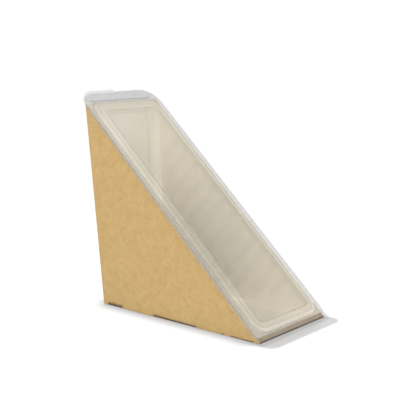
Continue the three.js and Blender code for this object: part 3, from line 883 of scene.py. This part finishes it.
LAMP_SIZE = 1.8  # metres
LAMP_DISTANCE = 0.9
LAMP_DIRECTION = (0.85, 0.36, -0.6)
LAMP_POWER = 16.9
FLOOR_SPAN = 12.0
FLOOR_DROP = 0.00005
FLOOR_GLOW = 0.92
CONTACT_REACH = 0.012
LEAF_FLOOR_TONE = 0.6  # darkest that the floor gets before the pack, where only the clear leaf lies on it
HORIZON_LIGHT, OVERHEAD_LIGHT = 1.3, 0.45
CAMERA_LENS = 76.97
CAMERA_PLACE = (-364.1, -330.72, 150.16)  # millimetres
CAMERA_RIGHT = (0.6728, -0.7395, -0.0245)
CAMERA_AHEAD = (0.7264, 0.6665, -0.1679)


def studio():
    """Pale light table that darkens only where something all but touches it, a surround that is white near the
    horizon and dimmer overhead, and one wide soft lamp from the left."""
    material, nodes, links = new_material("studio_floor")
    near = node(nodes, "ShaderNodeAmbientOcclusion", {"Distance": CONTACT_REACH}, samples=8)
    tone = node(nodes, "ShaderNodeMapRange", {"From Min": 0.5, "From Max": 1.0, "To Min": 0.4, "To Max": 1.0})
    links.new(near.outputs["AO"], tone.inputs["Value"])
    surface = node(
        nodes,
        "ShaderNodeBsdfPrincipled",
        {
            "Base Color": (0.16, 0.16, 0.16, 1.0),
            "Roughness": 0.9,
            "Specular IOR Level": 0.0,
            "Emission Strength": FLOOR_GLOW,
        },
    )
    place = node(nodes, "ShaderNodeTexCoord")
    split = nodes.new("ShaderNodeSeparateXYZ")
    links.new(place.outputs["Object"], split.inputs["Vector"])
    under_leaf = node(
        nodes,
        "ShaderNodeMapRange",
        {"From Min": (TOE_Y - 0.5) * MM, "From Max": (TOE_Y - 3.5) * MM, "To Min": 0.0, "To Max": LEAF_FLOOR_TONE},
        interpolation_type="SMOOTHSTEP",
    )
    links.new(split.outputs["Y"], under_leaf.inputs["Value"])
    lit = node(nodes, "ShaderNodeMath", operation="MAXIMUM")
    links.new(tone.outputs["Result"], lit.inputs[0])
    links.new(under_leaf.outputs["Result"], lit.inputs[1])
    links.new(lit.outputs[0], surface.inputs["Emission Color"])
    out = nodes.new("ShaderNodeOutputMaterial")
    links.new(surface.outputs["BSDF"], out.inputs["Surface"])

    mesh = bpy.data.meshes.new("floor")
    ends = ((-1, -1), (1, -1), (1, 1), (-1, 1))
    mesh.from_pydata([(x * FLOOR_SPAN, y * FLOOR_SPAN, -FLOOR_DROP) for x, y in ends], [], [(0, 1, 2, 3)])
    mesh.materials.append(material)
    floor = bpy.data.objects.new("floor", mesh)
    bpy.context.collection.objects.link(floor)

    world = bpy.data.worlds.new("surround")
    bpy.context.scene.world = world
    world.use_nodes = True
    nodes, links = world.node_tree.nodes, world.node_tree.links
    sky = nodes["Background"]
    sky.inputs["Color"].default_value = (1.0, 1.0, 1.0, 1.0)
    toward = node(nodes, "ShaderNodeTexCoord")
    parts = nodes.new("ShaderNodeSeparateXYZ")
    level = node(
        nodes,
        "ShaderNodeMapRange",
        {"From Min": 0.12, "From Max": 0.5, "To Min": HORIZON_LIGHT, "To Max": OVERHEAD_LIGHT},
        interpolation_type="SMOOTHSTEP",
    )
    links.new(toward.outputs["Generated"], parts.inputs["Vector"])
    links.new(parts.outputs["Z"], level.inputs["Value"])
    links.new(level.outputs["Result"], sky.inputs["Strength"])

    lamp = bpy.data.lights.new("softbox", "AREA")
    lamp.shape = "DISK"
    lamp.size = LAMP_SIZE
    lamp.energy = LAMP_POWER
    holder = bpy.data.objects.new("softbox", lamp)
    toward = Vector(LAMP_DIRECTION).normalized()
    holder.location = -toward * LAMP_DISTANCE
    holder.rotation_euler = toward.to_track_quat("-Z", "Y").to_euler()
    holder.visible_glossy = False
    bpy.context.collection.objects.link(holder)


def camera():
    """Camera at the viewing angle of the photograph: its place and its right and forward directions."""
    data = bpy.data.cameras.new("studio_camera")
    data.sensor_width = 36.0
    data.lens = CAMERA_LENS
    data.clip_start, data.clip_end = 0.01, 30.0
    right = Vector(CAMERA_RIGHT).normalized()
    ahead = Vector(CAMERA_AHEAD)
    ahead = (ahead - right * ahead.dot(right)).normalized()
    up = right.cross(ahead)
    turn = Matrix((right, up, -ahead)).transposed().to_4x4()
    holder = bpy.data.objects.new("studio_camera", data)
    holder.matrix_world = Matrix.Translation(Vector(CAMERA_PLACE) * MM) @ turn
    bpy.context.collection.objects.link(holder)
    bpy.context.scene.camera = holder


studio()
camera()

scene = bpy.context.scene
scene.view_settings.view_transform = "Standard"
scene.cycles.use_denoising = True
scene.cycles.transparent_max_bounces = 32
scene.cycles.max_bounces = 16
